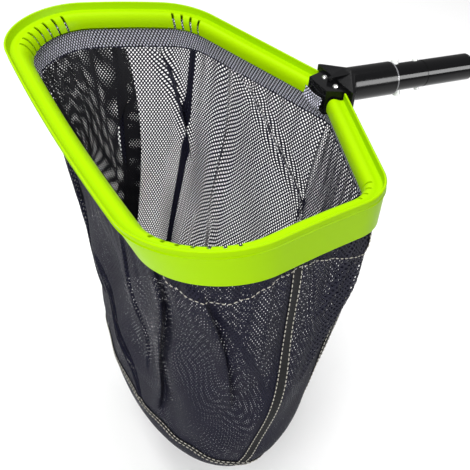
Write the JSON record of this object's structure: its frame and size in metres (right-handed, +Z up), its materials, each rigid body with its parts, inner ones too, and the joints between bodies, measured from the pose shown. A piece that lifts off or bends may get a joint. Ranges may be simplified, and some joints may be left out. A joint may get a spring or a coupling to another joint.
{
  "type": "pool leaf skimmer net",
  "caption": "Deep-bag leaf skimmer net: mesh bag on a bent hoop with a wide plastic lip, yoke and pole insert with spring buttons.",
  "frame": {"origin": "on the pole insert's axis, at the shoulder where the pole's end stops", "axes": "+X along the handle towards the pole, +Z up out of the bag's mouth, +Y across the frame"},
  "size_m": [0.469, 0.4664, 0.3906],
  "materials": {
    "hoop": "satin drawn tube",
    "lime_plastic": "soft gloss",
    "net_black": "woven hem",
    "net_mesh": "fine open mesh",
    "tape_black": "woven tape",
    "yoke_plastic": "gloss moulded",
    "rivet_steel": "pale",
    "ring_plastic": "gloss",
    "insert_plastic": "high gloss",
    "clip_plastic": "translucent white"
  },
  "bodies": {
    "rake": {"hoop_tube": "hoop", "rim_guard": "lime_plastic", "hem_sleeve": "net_black", "hem_skirt": "net_black", "hem_bridge": "net_black", "bag_front_panel": "net_mesh", "bag_near_panel": "net_mesh", "bag_rear_panel": "net_mesh", "bag_far_panel": "net_mesh", "bag_bottom_panel": "net_mesh", "tape_front_near": "tape_black", "tape_rear_near": "tape_black", "tape_rear_far": "tape_black", "tape_front_far": "tape_black", "tape_bottom": "tape_black", "yoke_body": "yoke_plastic", "yoke_rivets": "rivet_steel", "shoulder_ring": "ring_plastic", "pole_insert": "insert_plastic", "clip_bow": "clip_plastic"},
    "upper_leg": {"clip_leg_upper": "clip_plastic"},
    "lower_leg": {"clip_leg_lower": "clip_plastic"}
  },
  "joints": [
    {"name": "upper_buttons", "type": "hinge", "parent": "rake", "child": "upper_leg", "pos_m": [0.07, 0.00126, 0.00283], "axis": [0, -0.9135, 0.4067], "range_deg": [0, 5], "stiffness_Nm_per_rad": 5, "springref_deg": -2.86},
    {"name": "lower_buttons", "type": "hinge", "parent": "rake", "child": "lower_leg", "pos_m": [0.07, -0.00126, -0.00283], "axis": [0, 0.9135, -0.4067], "range_deg": [0, 5], "stiffness_Nm_per_rad": 5, "springref_deg": -2.86}
  ]
}
